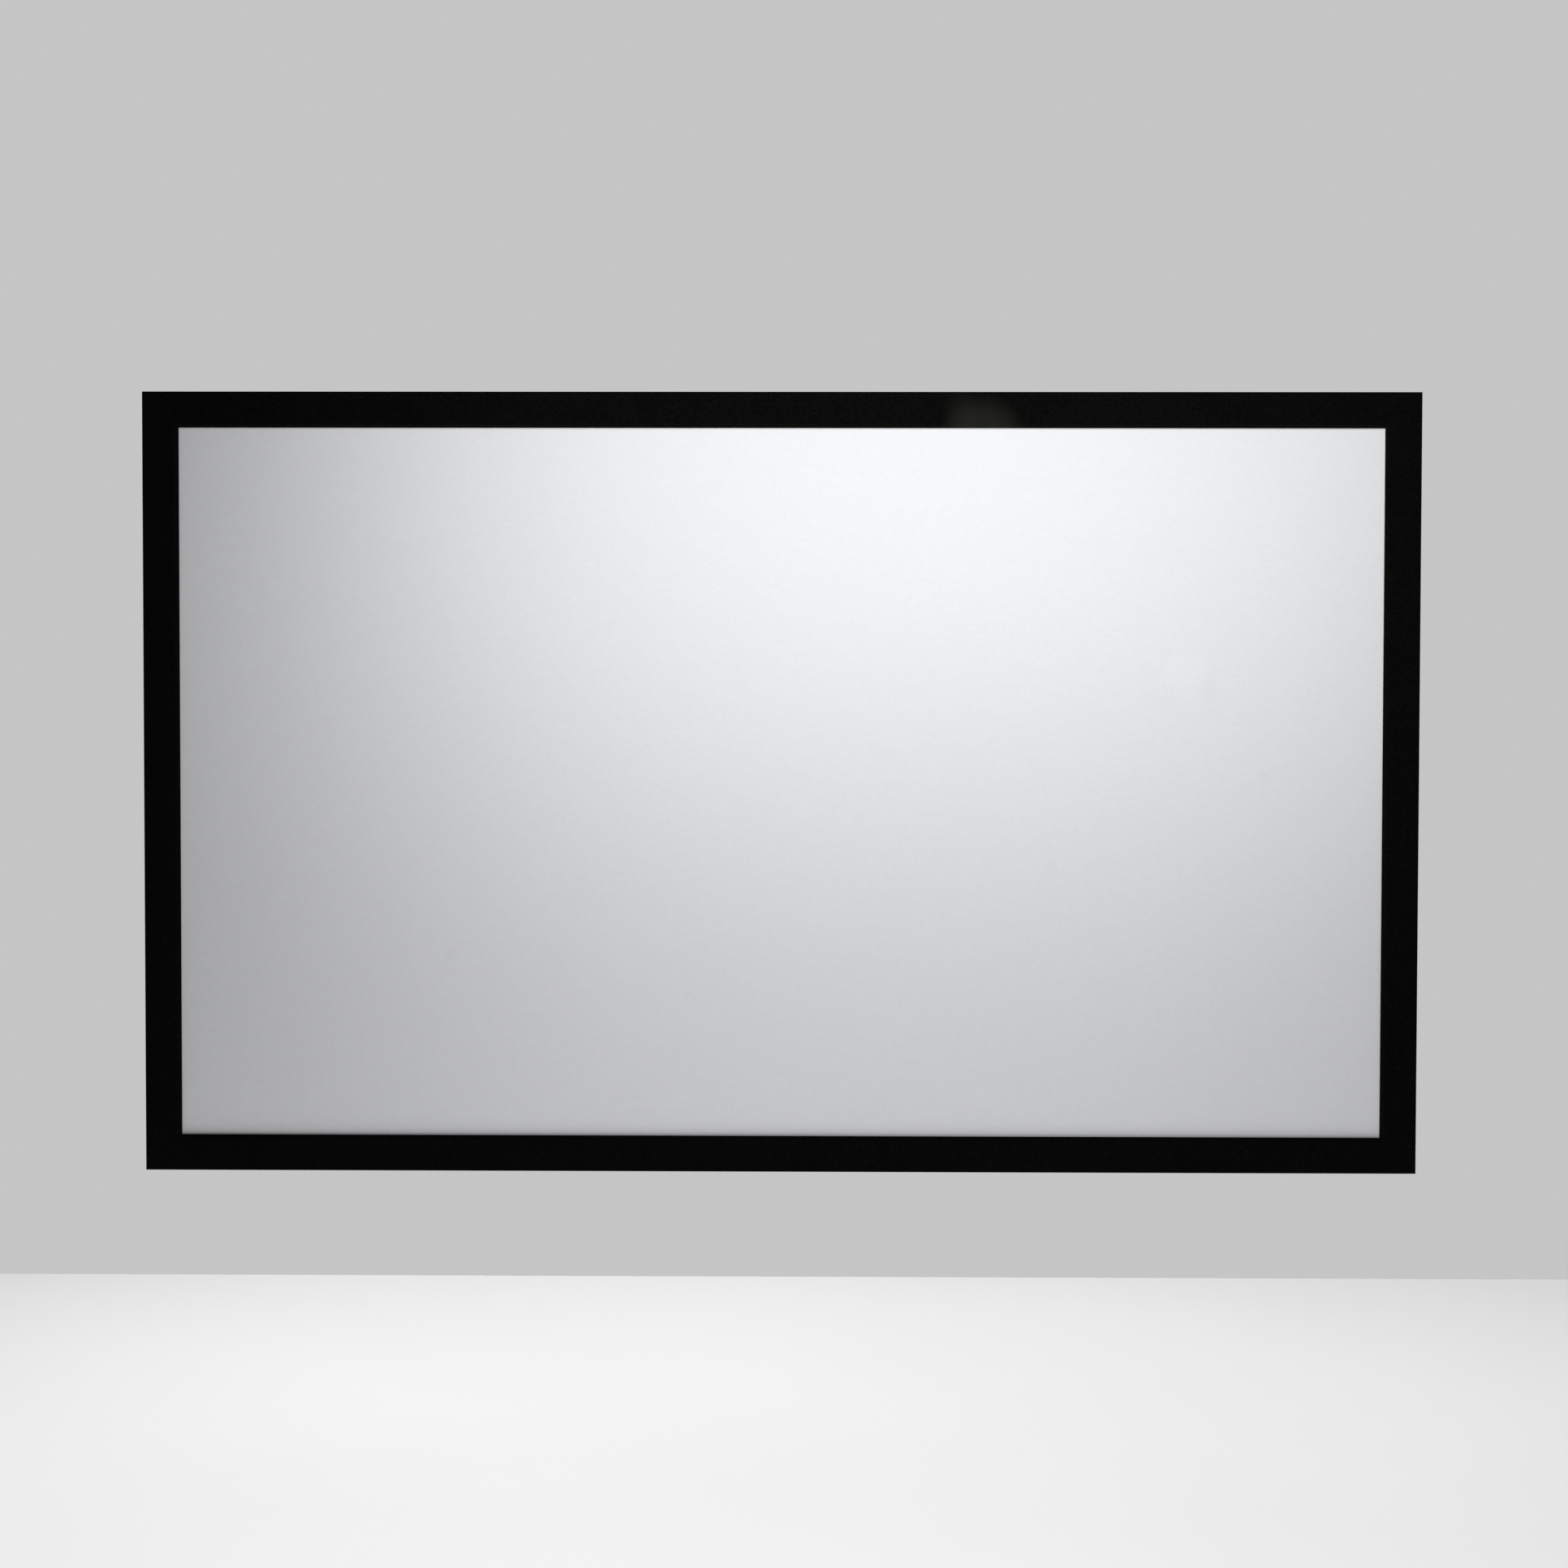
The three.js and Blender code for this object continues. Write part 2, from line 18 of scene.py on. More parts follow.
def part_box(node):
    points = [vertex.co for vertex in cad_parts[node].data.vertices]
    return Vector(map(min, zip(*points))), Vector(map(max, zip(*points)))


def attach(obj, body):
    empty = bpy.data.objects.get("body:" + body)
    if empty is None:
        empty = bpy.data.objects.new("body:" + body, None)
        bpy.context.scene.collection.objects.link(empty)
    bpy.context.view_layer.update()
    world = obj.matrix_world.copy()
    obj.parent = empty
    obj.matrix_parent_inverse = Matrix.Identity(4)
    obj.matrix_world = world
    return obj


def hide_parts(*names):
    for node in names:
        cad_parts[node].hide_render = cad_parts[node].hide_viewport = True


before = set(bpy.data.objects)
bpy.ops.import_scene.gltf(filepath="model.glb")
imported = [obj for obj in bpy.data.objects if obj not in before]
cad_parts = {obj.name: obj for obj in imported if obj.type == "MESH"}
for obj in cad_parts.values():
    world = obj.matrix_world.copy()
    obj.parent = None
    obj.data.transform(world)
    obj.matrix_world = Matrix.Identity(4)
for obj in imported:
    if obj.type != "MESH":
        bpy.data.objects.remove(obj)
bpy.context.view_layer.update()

# %% [markdown]
# ## The driving sizes
# The places are read from the frame's own boxes, so the looks follow the solids. The four sides share one
# section, so each side is drawn in a frame of its own: X runs outwards from the picture's edge, Y runs
# back from the front of the velvet, and Z runs along the side. One matrix per side turns that drawing
# into its place, which saves writing every shape four times. A side is listed with its turn in degrees, how
# far its edge of the picture is from the middle, and half its length.

# %% Sizes and side frames
MM = 0.001
right_low, right_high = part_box("right_velvet")
top_low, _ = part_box("top_left_velvet")
PICTURE_HALF_WIDTH = right_low.x
PICTURE_HALF_HEIGHT = top_low.z
FRONT = right_low.y
BORDER = right_high.x - right_low.x

SIDES = {
    "right": (0, PICTURE_HALF_WIDTH, PICTURE_HALF_HEIGHT),
    "bottom": (90, PICTURE_HALF_HEIGHT, PICTURE_HALF_WIDTH),
    "left": (180, PICTURE_HALF_WIDTH, PICTURE_HALF_HEIGHT),
    "top": (270, PICTURE_HALF_HEIGHT, PICTURE_HALF_WIDTH),
}


def side_place(side):
    """The matrix that puts a drawing in a side's own frame where that side is."""
    turn, edge, _ = SIDES[side]
    return Matrix.Rotation(math.radians(turn), 4, "Y") @ Matrix.Translation((edge, FRONT, 0))


picture_size = [round(2 * half, 4) for half in (PICTURE_HALF_WIDTH, PICTURE_HALF_HEIGHT)]
print("picture:", picture_size, "border:", round(BORDER, 4))

# %% [markdown]
# ## Writing finishes as sums
# A finish is a tree of nodes, and most of its nodes are plain arithmetic on masks. Wiring them by hand is
# long and hard to read, so a small class stands for the output of a node and adds a Math node for each
# +, -, * or /. Colours must not go through a Math node, which turns them grey, so they are blended with a
# Mix node. Every other node comes from one method, which takes its type, settings and inputs.


# %% The output of a node
class Signal:
    """The output of a node, so that masks can be written as sums and products."""

    def __init__(self, owner, socket):
        self.owner = owner
        self.socket = socket

    def _math(self, operation, *values):
        return self.owner.node("ShaderNodeMath", {"operation": operation}, dict(enumerate(values)))

    def __add__(self, other):
        return self._math("ADD", self, other)

    def __sub__(self, other):
        return self._math("SUBTRACT", self, other)

    def __mul__(self, other):
        return self._math("MULTIPLY", self, other)

    def __truediv__(self, other):
        return self._math("DIVIDE", self, other)

    def __rsub__(self, other):
        return self._math("SUBTRACT", other, self)

    def __rtruediv__(self, other):
        return self._math("DIVIDE", other, self)

    __radd__ = __add__
    __rmul__ = __mul__

    def call(self, operation, *values):
        """Any other operation of a Math node, such as FRACT or ABSOLUTE."""
        return self._math(operation, self, *values)

    def smooth(self, low, high):
        """A soft step from 0 at low to 1 at high. With low over high it falls."""
        if low > high:
            return 1 - self.smooth(high, low)
        settings = {"interpolation_type": "SMOOTHSTEP"}
        return self.owner.node("ShaderNodeMapRange", settings, {"Value": self, 1: low, 2: high})


# %% A tree of nodes
class Tree:
    """Any node tree. One method adds a node: its type, its settings, then its values or links."""

    def __init__(self, tree):
        self.tree = tree

    def feed(self, socket, value):
        if isinstance(value, Signal):
            self.tree.links.new(value.socket, socket)
        else:
            socket.default_value = value

    def node(self, kind, settings=None, values=None, output=0):
        made = self.tree.nodes.new(kind)
        for word, value in (settings or {}).items():
            setattr(made, word, value)
        for key, value in (values or {}).items():
            self.feed(made.inputs[key], value)
        return Signal(self, made.outputs[output])

    def axes(self, vector):
        """The three numbers of a vector as signals."""
        first = self.node("ShaderNodeSeparateXYZ", None, {"Vector": vector})
        return [Signal(self, socket) for socket in first.socket.node.outputs]

    def blend(self, mask, first, second):
        """The colour first where the mask is 0, and second where it is 1."""
        first, second = (tuple(c) + (1,) if isinstance(c, tuple) else c for c in (first, second))
        return self.node("ShaderNodeMix", {"data_type": "RGBA"}, {0: mask, 6: first, 7: second}, 2)


# %% A finish
class Finish(Tree):
    """A material while it is made. Constants go straight on the shader's own sockets."""

    def __init__(self, name, **constants):
        self.material = bpy.data.materials.new(name)
        self.material.use_nodes = True
        super().__init__(self.material.node_tree)
        self.shader = self.tree.nodes["Principled BSDF"]
        for word, value in constants.items():
            self.shader.inputs[word.replace("_", " ")].default_value = value

    def point(self, **mapping):
        """The point on the piece in metres, after a Mapping node if it has any values."""
        here = self.node("ShaderNodeTexCoord", output="Object")
        return self.node("ShaderNodeMapping", None, {"Vector": here, **mapping}) if mapping else here

    def noise(self, size, stretch=(1, 1, 1), detail=2.0, roughness=0.5):
        """Noise whose blotches are about size metres across."""
        place = self.point(Scale=stretch)
        values = {"Vector": place, "Scale": 1 / size, "Detail": detail, "Roughness": roughness}
        return self.node("ShaderNodeTexNoise", None, values)

    def spot(self, place, reach):
        """How far off a spot in the picture's plane a point is, as a share of its reach, squared."""
        x, _, z = self.axes(self.point())
        across = (x - place[0]) / reach[0]
        up = (z - place[1]) / reach[1]
        return across * across + up * up

    def set(self, word, value):
        self.feed(self.shader.inputs[word], value)

    def bump(self, height, depth, strength=1.0):
        values = {"Height": height, "Distance": depth, "Strength": strength}
        self.set("Normal", self.node("ShaderNodeBump", None, values))


# %% [markdown]
# ## The finish of the velvet
# The border is there to swallow stray light, so its flock is about the blackest surface in a house. A
# short upright pile has no gloss, so the shader's specular is off and a trace of sheen takes its place at
# grazing angles. The pile isn't even: its tufts of about a millimetre lean together in clumps. The soft
# light dome on the top rail is a painted highlight: a lamp's shine, painted as a lighter pile colour at
# two spots. A few specks of lint sit on it.

# %% Black velvet
PILE_DARK = (0.0004, 0.0005, 0.0004)
PILE_LIGHT = (0.0054, 0.0060, 0.0051)
# The next colour and the two spots below it are a painted highlight: a lamp's shine painted into the top
# rail's velvet.
PAINTED_GLOW = (0.0138, 0.0150, 0.0132)
PAINTED_GLOW_SPOTS = [
    {"place": (0.303, 0.630), "reach": (0.030, 0.035), "depth": 0.29},
    {"place": (0.340, 0.582), "reach": (0.069, 0.070), "depth": 1.20},
]
LINT = (0.09, 0.09, 0.085)
LINT_CELLS = {"Scale": 34.0}
CELLS_WITHOUT_LINT = 0.94


def black_velvet():
    sheen = {"Sheen_Weight": 0.03, "Sheen_Roughness": 0.5}
    velvet = Finish("black_velvet", Roughness=1.0, Specular_IOR_Level=0.0, **sheen)
    tufts = velvet.noise(1.1 * MM, detail=3.0)
    clumps = velvet.noise(4 * MM, detail=2.0)
    nap = velvet.noise(70 * MM, detail=3.0)
    lying = tufts.smooth(0.3, 0.7) * 0.4 + clumps.smooth(0.3, 0.7) * 0.35 + nap * 0.25
    shade = velvet.blend(lying, PILE_DARK, PILE_LIGHT)
    streaks = velvet.noise(22 * MM, stretch=(1, 1, 0.5), detail=4.0)
    # Painted highlight: the lamp's shine on the top rail, painted as a lighter pile colour at two spots.
    painted_glow = 0
    for glow_spot in PAINTED_GLOW_SPOTS:
        away = velvet.spot(glow_spot["place"], glow_spot["reach"]) + (streaks - 0.5) * 0.4
        painted_glow = painted_glow + away.smooth(1.3, -0.2) * glow_spot["depth"]
    uneven = streaks * 0.5 + 0.75
    shade = velvet.blend(painted_glow.call("MINIMUM", 1) * uneven, shade, PAINTED_GLOW)
    cells = {"Vector": velvet.point(Scale=(1, 1, 1.6)), **LINT_CELLS}
    near = velvet.node("ShaderNodeTexVoronoi", None, cells)
    tint = Signal(velvet, near.socket.node.outputs["Color"])
    chance = velvet.node("ShaderNodeSeparateColor", None, {"Color": tint})
    speck = near.smooth(0.032, 0.018) * chance.call("GREATER_THAN", CELLS_WITHOUT_LINT)
    velvet.set("Base Color", velvet.blend(speck * 0.8, shade, LINT))
    velvet.bump(tufts + clumps, 0.5 * MM, 0.8)
    return velvet.material


velvet_finish = black_velvet()
print("made", velvet_finish.name)

# %% [markdown]
# ## The finishes of the film
# The film is a soft plastic sheet. Its face is a matte white that throws the picture back evenly, with a
# very fine grain across its width from the rollers that made it, and a few faint marks from handling. Its
# back has a black coat, so that no light gets through. Where the edge is folded back and welded down, the
# welding bar leaves rows of small ribs.

# %% White face, black back and welded hem
FILM_WHITE = (0.885, 0.892, 0.916)
FILM_SOILED = (0.805, 0.811, 0.824)
COAT = (0.016, 0.016, 0.018), (0.030, 0.030, 0.031)
WELDED = (0.80, 0.805, 0.82), (0.70, 0.70, 0.70)
RIB_SCALE = 105.0
MARKS = [
    {"place": (0.684, 0.190), "reach": (0.046, 0.036), "depth": -0.24},
    {"place": (0.697, 0.146), "reach": (0.018, 0.016), "depth": -0.12},
    {"place": (0.724, 0.163), "reach": (0.015, 0.027), "depth": 0.24},
    {"place": (0.650, 0.137), "reach": (0.022, 0.016), "depth": 0.10},
    {"place": (0.817, 0.013), "reach": (0.010, 0.014), "depth": 0.18},
    {"place": (-0.560, -0.291), "reach": (0.013, 0.012), "depth": 0.26},
    {"place": (-0.151, -0.362), "reach": (0.016, 0.009), "depth": 0.18},
]


def white_film():
    film = Finish("white_film", Roughness=0.8, Specular_IOR_Level=0.2)
    grain = film.noise(1.6 * MM, stretch=(0.08, 1, 1), detail=3.0, roughness=0.6)
    mottle = film.noise(4 * MM, detail=2.0)
    cloud = film.noise(220 * MM, detail=2.0)
    soiled = grain * 0.50 + mottle * 0.85 + cloud * 0.10 - 0.33
    for mark in MARKS:
        away = film.spot(mark["place"], mark["reach"])
        soiled = soiled + away.smooth(1.3, 0.0) * mark["depth"]
    film.set("Base Color", film.blend(soiled, FILM_WHITE, FILM_SOILED))
    film.bump(grain, 0.05 * MM, 0.5)
    return film.material


def black_coat():
    coat = Finish("black_coat")
    emboss = coat.noise(0.7 * MM, detail=2.0)
    dust = coat.noise(0.16, stretch=(1, 1, 0.5), detail=6.0, roughness=0.7)
    dusty = dust.smooth(0.45, 0.8) * 0.5
    coat.set("Base Color", coat.blend(dusty, *COAT))
    coat.set("Roughness", 0.46 + dusty * 0.3)
    coat.bump(emboss, 0.06 * MM, 0.5)
    return coat.material


def welded_hem():
    hem = Finish("welded_hem", Roughness=0.62, Specular_IOR_Level=0.4)
    slanted = hem.point(Rotation=(0, math.radians(45), 0))
    values = {"Vector": slanted, "Scale": RIB_SCALE}
    ribs = hem.node("ShaderNodeTexWave", {"bands_direction": "X"}, values)
    handled = hem.noise(35 * MM, detail=4.0)
    hem.set("Base Color", hem.blend(handled.smooth(0.4, 0.8), *WELDED))
    hem.bump(ribs, 0.15 * MM, 0.9)
    return hem.material


film_finishes = [white_film(), black_coat(), welded_hem()]
print("made", [m.name for m in film_finishes])

# %% [markdown]
# ## The finishes of the metal and the plastic
# Everything behind the film is plain hardware. The rails are bare extrusions, with die lines along their
# length. The plates are stamped and zinc plated, which leaves a cloudy bloom. The screws are black oxide,
# rubbed bright at their edges. The hooks have a powder coat with a fine orange peel, and the shoes are
# moulded plastic with a spark-eroded grain. Each finish is a short sum of two or three noises at the size
# that the real one has, and blends two shades by that sum.

# %% Metals and plastics
ALUMINIUM = (0.50, 0.51, 0.52), (0.74, 0.745, 0.75)
ZINC = (0.46, 0.48, 0.50), (0.66, 0.66, 0.63)
OXIDE = (0.045, 0.045, 0.050), (0.30, 0.30, 0.30)
WIRE = (0.52, 0.52, 0.53), (0.78, 0.78, 0.77)
POWDER = (0.018, 0.018, 0.019), (0.075, 0.074, 0.072)
PLASTIC = (0.015, 0.015, 0.016), (0.030, 0.030, 0.031)
DIE_LINE_STRETCH = 80


def extruded_aluminium(name, along):
    """Bare extrusion. The noise is drawn out into die lines along one axis."""
    stretch = tuple(1 / DIE_LINE_STRETCH if axis == along else 1 for axis in "xyz")
    metal = Finish(name, Metallic=1.0)
    lines = metal.noise(0.9 * MM, stretch=stretch, detail=3.0, roughness=0.65)
    cloud = metal.noise(60 * MM, detail=4.0)
    metal.set("Base Color", metal.blend(cloud * 0.6 + lines * 0.4, *ALUMINIUM))
    metal.set("Roughness", 0.36 + lines * 0.18 + cloud * 0.12)
    metal.bump(lines, 0.05 * MM, 0.35)
    return metal.material


def zinc_plate():
    zinc = Finish("zinc_plate", Metallic=1.0)
    bloom = zinc.noise(9 * MM, detail=5.0, roughness=0.6)
    grain = zinc.noise(0.5 * MM, detail=2.0)
    zinc.set("Base Color", zinc.blend(bloom.smooth(0.3, 0.7), *ZINC))
    zinc.set("Roughness", 0.26 + bloom * 0.30)
    zinc.bump(grain, 0.03 * MM, 0.4)
    return zinc.material


def black_oxide():
    oxide = Finish("black_oxide", Metallic=1.0)
    rubbed = oxide.noise(1.6 * MM, detail=4.0, roughness=0.6)
    oxide.set("Base Color", oxide.blend(rubbed.smooth(0.52, 0.72), *OXIDE))
    oxide.set("Roughness", 0.50 - rubbed * 0.25)
    return oxide.material


def plated_wire():
    wire = Finish("plated_wire", Metallic=1.0)
    drawn = wire.noise(0.5 * MM, detail=3.0)
    wire.set("Base Color", wire.blend(drawn, *WIRE))
    wire.set("Roughness", 0.20 + drawn * 0.18)
    return wire.material


def powder_coat():
    coat = Finish("powder_coat", Specular_IOR_Level=0.5)
    peel = coat.noise(1.0 * MM, detail=2.0)
    scuff = coat.noise(12 * MM, stretch=(1, 1, 3), detail=6.0, roughness=0.7)
    coat.set("Base Color", coat.blend(scuff.smooth(0.55, 0.85), *POWDER))
    coat.set("Roughness", 0.36 + scuff * 0.25)
    coat.bump(peel, 0.05 * MM, 0.5)
    return coat.material


def moulded_plastic():
    plastic = Finish("moulded_plastic", Specular_IOR_Level=0.45)
    grain = plastic.noise(0.45 * MM, detail=2.0)
    flow = plastic.noise(16 * MM, detail=2.0)
    plastic.set("Base Color", plastic.blend(flow, *PLASTIC))
    plastic.set("Roughness", 0.48 + grain * 0.18)
    plastic.bump(grain, 0.05 * MM, 0.5)
    return plastic.material


aluminium = {axis: extruded_aluminium(f"extruded_aluminium_{axis}", axis) for axis in "xz"}
zinc_finish = zinc_plate()
oxide_finish = black_oxide()
wire_finish = plated_wire()
coat_finish = powder_coat()
plastic_finish = moulded_plastic()
print("made", len(bpy.data.materials), "finishes")

# %% [markdown]
# ## Softened edges
# No real edge is perfectly sharp: a saw leaves a burr that is brushed off, a press rolls an edge over, and
# cloth turns a corner with its own thickness. The solids of the frame have ideal edges, and they must stay
# as they are, so each is copied, its loose triangles are merged back into whole faces, and a small bevel
# is run along every real edge. Weighted normals keep the large faces flat in the light.


# %% Helpers for objects, meshes and pieces
def shown(name, data):
    """A new object in the scene."""
    made = bpy.data.objects.new(name, data)
    bpy.context.collection.objects.link(made)
    return made


def plain_mesh(helper):
    """What a helper object evaluates to, as a plain mesh. The helper is removed."""
    ready = helper.evaluated_get(bpy.context.evaluated_depsgraph_get())
    mesh = bpy.data.meshes.new_from_object(ready)
    bpy.data.objects.remove(helper)
    return mesh


def finished_piece(name, mesh, materials, replaced):
    """A piece at the origin that stands for solids of the frame and rides with them."""
    piece = shown(name, mesh)
    if not mesh.materials:
        for material in materials:
            mesh.materials.append(material)
    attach(piece, "root")
    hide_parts(*replaced)
    return piece


# %% A helper that softens a copy of a solid
SAME_PLACE = 1e-6
SAME_PLANE = math.radians(0.5)
SHARP_FROM = math.radians(40)


def applied(mesh, *modifiers):
    """The mesh with modifiers applied, each given as a type and its settings."""
    helper = shown("helper", mesh)
    for kind, settings in modifiers:
        modifier = helper.modifiers.new(kind.lower(), kind)
        for word, value in settings.items():
            setattr(modifier, word, value)
    return plain_mesh(helper)


def softened(node, name, width, material, segments=2, longer=0.0):
    """A copy with rounded edges. It may be a little longer at both ends, where cloth closes a seam."""
    work = bmesh.new()
    work.from_mesh(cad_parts[node].data)
    low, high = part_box(node)
    axis = max(range(3), key=lambda i: high[i] - low[i])
    for vert in work.verts:
        vert.co[axis] += math.copysign(longer, vert.co[axis] - (low[axis] + high[axis]) / 2)
    bmesh.ops.remove_doubles(work, verts=work.verts, dist=SAME_PLACE)
    bmesh.ops.dissolve_limit(work, angle_limit=SAME_PLANE, verts=work.verts, edges=work.edges)
    for face in work.faces:
        face.smooth = True
    mesh = bpy.data.meshes.new(name)
    work.to_mesh(mesh)
    work.free()
    mesh.materials.clear()
    bevel = {"width": width, "segments": segments, "limit_method": "ANGLE", "angle_limit": SHARP_FROM}
    mesh = applied(mesh, ("BEVEL", bevel), ("WEIGHTED_NORMAL", {"keep_sharp": True, "weight": 100}))
    mesh.name = name
    return finished_piece(name, mesh, [material], [node])


# %% [markdown]
# ## The rails and their velvet
# Each rail is an extrusion with a box along its outside, a slotted channel in its back and a flat lip that
# reaches over the edge of the film. The ends are sawn at 45 degrees, and a strip of velvet is glued round
# the front and the outside before the corner is closed. The velvet's bevel is the wider of the two, and
# each strip is a fifth of a millimetre longer than its solid at both ends. So the pile of two neighbours
# meets over the joint and hides it, as it does on the real frame.

# %% Rails and velvet
CORNERS = ("top_left", "top_right", "bottom_left", "bottom_right")
LENGTHS = (*CORNERS, "left", "right")
SAWN_EDGE = 0.2 * MM
CLOTH_EDGE = 0.25 * MM
SEAM = 0.2 * MM

for place in LENGTHS:
    along = "x" if place in CORNERS else "z"
    softened(f"{place}_rail", f"{place}_extrusion", SAWN_EDGE, aluminium[along])
    name = f"{place}_velvet_strip"
    strip = softened(f"{place}_velvet", name, CLOTH_EDGE, velvet_finish, longer=SEAM)
print("a velvet strip has", len(strip.data.polygons), "faces")

# %% [markdown]
# ## The film and its hems
# The film is cut, notched where the springs will be, folded back round the rods and welded. It could be
# one thickened surface, but each layer has its own colour on its two sides, so it is drawn as sections
# instead: a thin slab for the picture, and along each edge a hem whose section is a strip that turns round
# the rod. The hem is drawn between one notch and the next, so that the rod lies bare at each spring. The
# springs hold the film flat, so it has no sag and needs no cloth simulation.

# %% Places of the rods, springs and notches
FILM = 0.4 * MM
FILM_BACK = 9.7 * MM
FILM_OVERLAP = 6 * MM
ROD_RADIUS = 2 * MM
ROD_CENTRE = Vector((9 * MM, 12 * MM))
HEM_RADIUS = 2.5 * MM
HEM_TURN = (-90, 135)
HEM_CLOSE = 1 * MM
HEM_WELD = 10 * MM
HEM_STOP = 25 * MM
NOTCH = 10 * MM
SPRING_MARGIN = 40 * MM
SPRING_PITCH = 120 * MM


def spring_places(side):
    """Where the springs stand along a side, evenly spaced from its middle."""
    run = SIDES[side][2] - SPRING_MARGIN
    count = round(run / SPRING_PITCH)
    one_way = [(i + 0.5) * run / count for i in range(count)]
    return sorted([-s for s in one_way] + one_way)


def arc(centre, radius, start, end, steps):
    """Points along an arc, between two angles in degrees."""
    angles = [math.radians(start + (end - start) * i / steps) for i in range(steps + 1)]
    return [centre + radius * Vector((math.cos(a), math.sin(a))) for a in angles]


def circle(centre, radius, count):
    """Points all round a circle."""
    return arc(centre, radius, 0, 360 - 360 / count, count - 1)


def offset_line(points, distance):
    """A line of points moved sideways, with its corners kept."""
    moved = []
    for i, p in enumerate(points):
        before = (points[max(i, 1)] - points[max(i, 1) - 1]).normalized()
        after = (points[min(i + 1, len(points) - 1)] - points[min(i, len(points) - 2)]).normalized()
        normals = [Vector((-v.y, v.x)) for v in (before, after)]
        middle = (normals[0] + normals[1]).normalized()
        moved.append(p + middle * distance / middle.dot(normals[1]))
    return moved


print("springs on a rail:", len(spring_places("top")), "and on a stile:", len(spring_places("left")))


# %% One hem of the film
WHITE, BLACK, WELD = range(3)


def add_bar(work, outline, start, end, material_of):
    """A closed bar: an outline of (out, back) points from start to end along the side."""
    rings = [[work.verts.new((p.x, p.y, s)) for p in outline] for s in (start, end)]
    count = len(outline)
    for i in range(count):
        j = (i + 1) % count
        face = work.faces.new((rings[0][i], rings[0][j], rings[1][j], rings[1][i]))
        face.material_index = material_of(i)
        face.smooth = True
    for ring in (rings[0][::-1], rings[1]):
        work.faces.new(ring).material_index = material_of(-1)


def add_hem(work, side):
    """The film's edge, turned round the rod and laid back on the film, between the notches of a side."""
    middle_of_film = FILM_BACK - FILM / 2
    weld_start = FILM_OVERLAP - HEM_CLOSE
    line = [
        Vector((FILM_OVERLAP, middle_of_film)),
        *arc(ROD_CENTRE, HEM_RADIUS, *HEM_TURN, steps=14),
        Vector((weld_start, middle_of_film + FILM)),
        Vector((weld_start - HEM_WELD, middle_of_film + FILM)),
    ]
    outer = offset_line(line, -FILM / 2)
    inner = offset_line(line, FILM / 2)
    outline = outer + inner[::-1]
    weld_from = len(outer) - 3

    def material_of(i):
        if 0 <= i < weld_from:
            return WHITE
        return WELD if i < len(outer) else BLACK

    reach = SIDES[side][2] - HEM_STOP
    stops = [-reach, *(s + way * NOTCH / 2 for s in spring_places(side) for way in (-1, 1)), reach]
    for start, end in zip(stops[::2], stops[1::2]):
        first = len(work.verts)
        add_bar(work, outline, start, end, material_of)
        work.verts.ensure_lookup_table()
        bmesh.ops.transform(work, matrix=side_place(side), verts=work.verts[first:])


# %% The film with its four hems
def film_mesh():
    """The picture's slab with a hem along each side."""
    work = bmesh.new()
    wide = PICTURE_HALF_WIDTH + FILM_OVERLAP
    high = PICTURE_HALF_HEIGHT + FILM_OVERLAP
    slab = Matrix.LocRotScale((0, FRONT + FILM_BACK - FILM / 2, 0), None, (2 * wide, FILM, 2 * high))
    bmesh.ops.create_cube(work, size=1, matrix=slab)
    for face in work.faces:
        face.material_index = BLACK if face.normal.y > 0.5 else WHITE
    for side in SIDES:
        add_hem(work, side)
    bmesh.ops.recalc_face_normals(work, faces=work.faces)
    mesh = bpy.data.meshes.new("projection_film")
    work.to_mesh(mesh)
    work.free()
    mesh.set_sharp_from_angle(angle=SHARP_FROM)
    return mesh


film = finished_piece("projection_film", film_mesh(), film_finishes, ["screen_sheet"])

# %% [markdown]
# ## The rods
# A steel rod in each hem spreads the pull of the springs, so that the film doesn't pucker between them.
# It is a turned shape: a profile of distances along the rod and radii, swept round its axis, with a small
# chamfer at the sawn ends. On the long sides there are two rods, which meet at the middle. So each rod is
# listed with its side and the half of the side that it takes: 1 or -1, or 0 for the whole side.


# %% Rods in the hems
def turned(profile, centre, turns=20):
    """A closed turned mesh along Z, from a profile of (place, radius) steps."""
    work = bmesh.new()
    rings = []
    for place, radius in profile:
        rings.append([work.verts.new((p.x, p.y, place)) for p in circle(centre, radius, turns)])
    for low, high in zip(rings, rings[1:]):
        for i in range(turns):
            j = (i + 1) % turns
            work.faces.new((low[i], low[j], high[j], high[i])).smooth = True
    work.faces.new(rings[0][::-1])
    work.faces.new(rings[-1])
    mesh = bpy.data.meshes.new("turned")
    work.to_mesh(mesh)
    work.free()
    mesh.set_sharp_from_angle(angle=math.radians(35))
    return mesh


ROD_STOP = 29 * MM
HALF_GAP = 0.15 * MM
CHAMFER = 0.4 * MM
RODS = {
    "top_left": ("top", 1),
    "top_right": ("top", -1),
    "bottom_left": ("bottom", -1),
    "bottom_right": ("bottom", 1),
    "left": ("left", 0),
    "right": ("right", 0),
}

for place, (side, way) in RODS.items():
    reach = SIDES[side][2] - ROD_STOP
    start, end = {1: (HALF_GAP, reach), -1: (-reach, -HALF_GAP), 0: (-reach, reach)}[way]
    profile = [(start, ROD_RADIUS - CHAMFER), (start + CHAMFER, ROD_RADIUS)]
    profile += [(end - CHAMFER, ROD_RADIUS), (end, ROD_RADIUS - CHAMFER)]
    mesh = turned(profile, ROD_CENTRE)
    mesh.transform(side_place(side))
    finished_piece(f"{place}_rod", mesh, [wire_finish], [f"{place}_sprung_rod"])
print("rods:", len(RODS))

